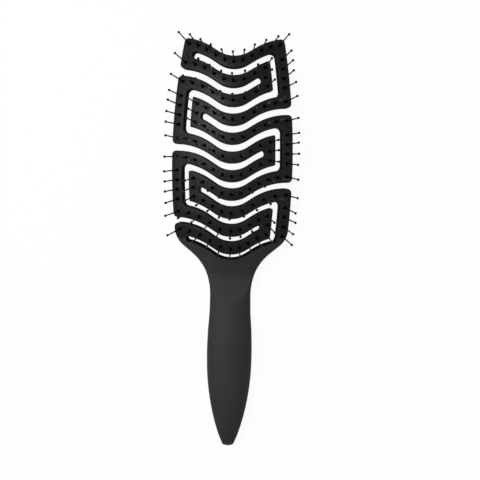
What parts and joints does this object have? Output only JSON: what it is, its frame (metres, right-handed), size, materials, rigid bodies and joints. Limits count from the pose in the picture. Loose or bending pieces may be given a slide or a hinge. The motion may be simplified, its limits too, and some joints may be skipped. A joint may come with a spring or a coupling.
{
  "type": "detangling brush",
  "caption": "Long-handled hair brush with a domed flexible vented head of wavy ribs joined as a maze, carrying thin ball-tipped bristle pins for detangling.",
  "frame": {"origin": "middle of the flat on the back of the grip's belly, on which the brush lies", "axes": "+Y from the grip to the tip of the head, +Z towards the bristles, +X to the right when the bristles face the viewer with the tip up"},
  "size_m": [0.08, 0.2451, 0.0376],
  "materials": {
    "grip_soft_touch": "soft-touch rubber coating over moulded plastic, matte black",
    "frame_soft_touch": "soft-touch rubber coating over flexible moulded plastic, matte black",
    "cover_plastic": "fine-textured flexible moulded plastic, matte black",
    "bristle_nylon": "smooth nylon, glossy black, with dipped ball tips"
  },
  "bodies": {
    "grip": {"handle": "grip_soft_touch"},
    "section_5": {"front_frame_pair_5": "frame_soft_touch", "front_frame_bar_5": "frame_soft_touch", "back_cover_pair_5": "cover_plastic", "back_cover_bar_5": "cover_plastic", "bristles_rib_10": "bristle_nylon", "bristles_rib_11": "bristle_nylon", "bristles_bar_5": "bristle_nylon"},
    "section_4": {"front_frame_pair_4": "frame_soft_touch", "front_frame_bar_4": "frame_soft_touch", "back_cover_pair_4": "cover_plastic", "back_cover_bar_4": "cover_plastic", "bristles_rib_08": "bristle_nylon", "bristles_rib_09": "bristle_nylon", "bristles_bar_4": "bristle_nylon"},
    "section_3": {"front_frame_pair_3": "frame_soft_touch", "front_frame_bar_3": "frame_soft_touch", "back_cover_pair_3": "cover_plastic", "back_cover_bar_3": "cover_plastic", "bristles_rib_06": "bristle_nylon", "bristles_rib_07": "bristle_nylon", "bristles_bar_3": "bristle_nylon"},
    "section_2": {"front_frame_pair_2": "frame_soft_touch", "front_frame_bar_2": "frame_soft_touch", "back_cover_pair_2": "cover_plastic", "back_cover_bar_2": "cover_plastic", "bristles_rib_04": "bristle_nylon", "bristles_rib_05": "bristle_nylon", "bristles_bar_2": "bristle_nylon"},
    "section_1": {"front_frame_pair_1": "frame_soft_touch", "front_frame_bar_1": "frame_soft_touch", "back_cover_pair_1": "cover_plastic", "back_cover_bar_1": "cover_plastic", "bristles_rib_02": "bristle_nylon", "bristles_rib_03": "bristle_nylon", "bristles_bar_1": "bristle_nylon"},
    "tip_section": {"front_frame_tip": "frame_soft_touch", "back_cover_tip": "cover_plastic", "bristles_rib_01": "bristle_nylon"}
  },
  "joints": [
    {"name": "flex_6", "type": "hinge", "parent": "grip", "child": "section_5", "pos_m": [0, 0.06954, 0.00715], "axis": [1, 0, 0], "range_deg": [-3.5, 2], "stiffness_Nm_per_rad": 4},
    {"name": "flex_5", "type": "hinge", "parent": "section_5", "child": "section_4", "pos_m": [0, 0.09053, 0.01046], "axis": [1, 0, 0], "range_deg": [-3.5, 2], "stiffness_Nm_per_rad": 4},
    {"name": "flex_4", "type": "hinge", "parent": "section_4", "child": "section_3", "pos_m": [0, 0.11229, 0.01219], "axis": [1, 0, 0], "range_deg": [-3.5, 2], "stiffness_Nm_per_rad": 4},
    {"name": "flex_3", "type": "hinge", "parent": "section_3", "child": "section_2", "pos_m": [0, 0.13442, 0.01226], "axis": [1, 0, 0], "range_deg": [-3.5, 2], "stiffness_Nm_per_rad": 4},
    {"name": "flex_2", "type": "hinge", "parent": "section_2", "child": "section_1", "pos_m": [0, 0.1569, 0.01057], "axis": [1, 0, 0], "range_deg": [-3.5, 2], "stiffness_Nm_per_rad": 4},
    {"name": "flex_1", "type": "hinge", "parent": "section_1", "child": "tip_section", "pos_m": [0, 0.17959, 0.00693], "axis": [1, 0, 0], "range_deg": [-3.5, 2], "stiffness_Nm_per_rad": 4}
  ]
}
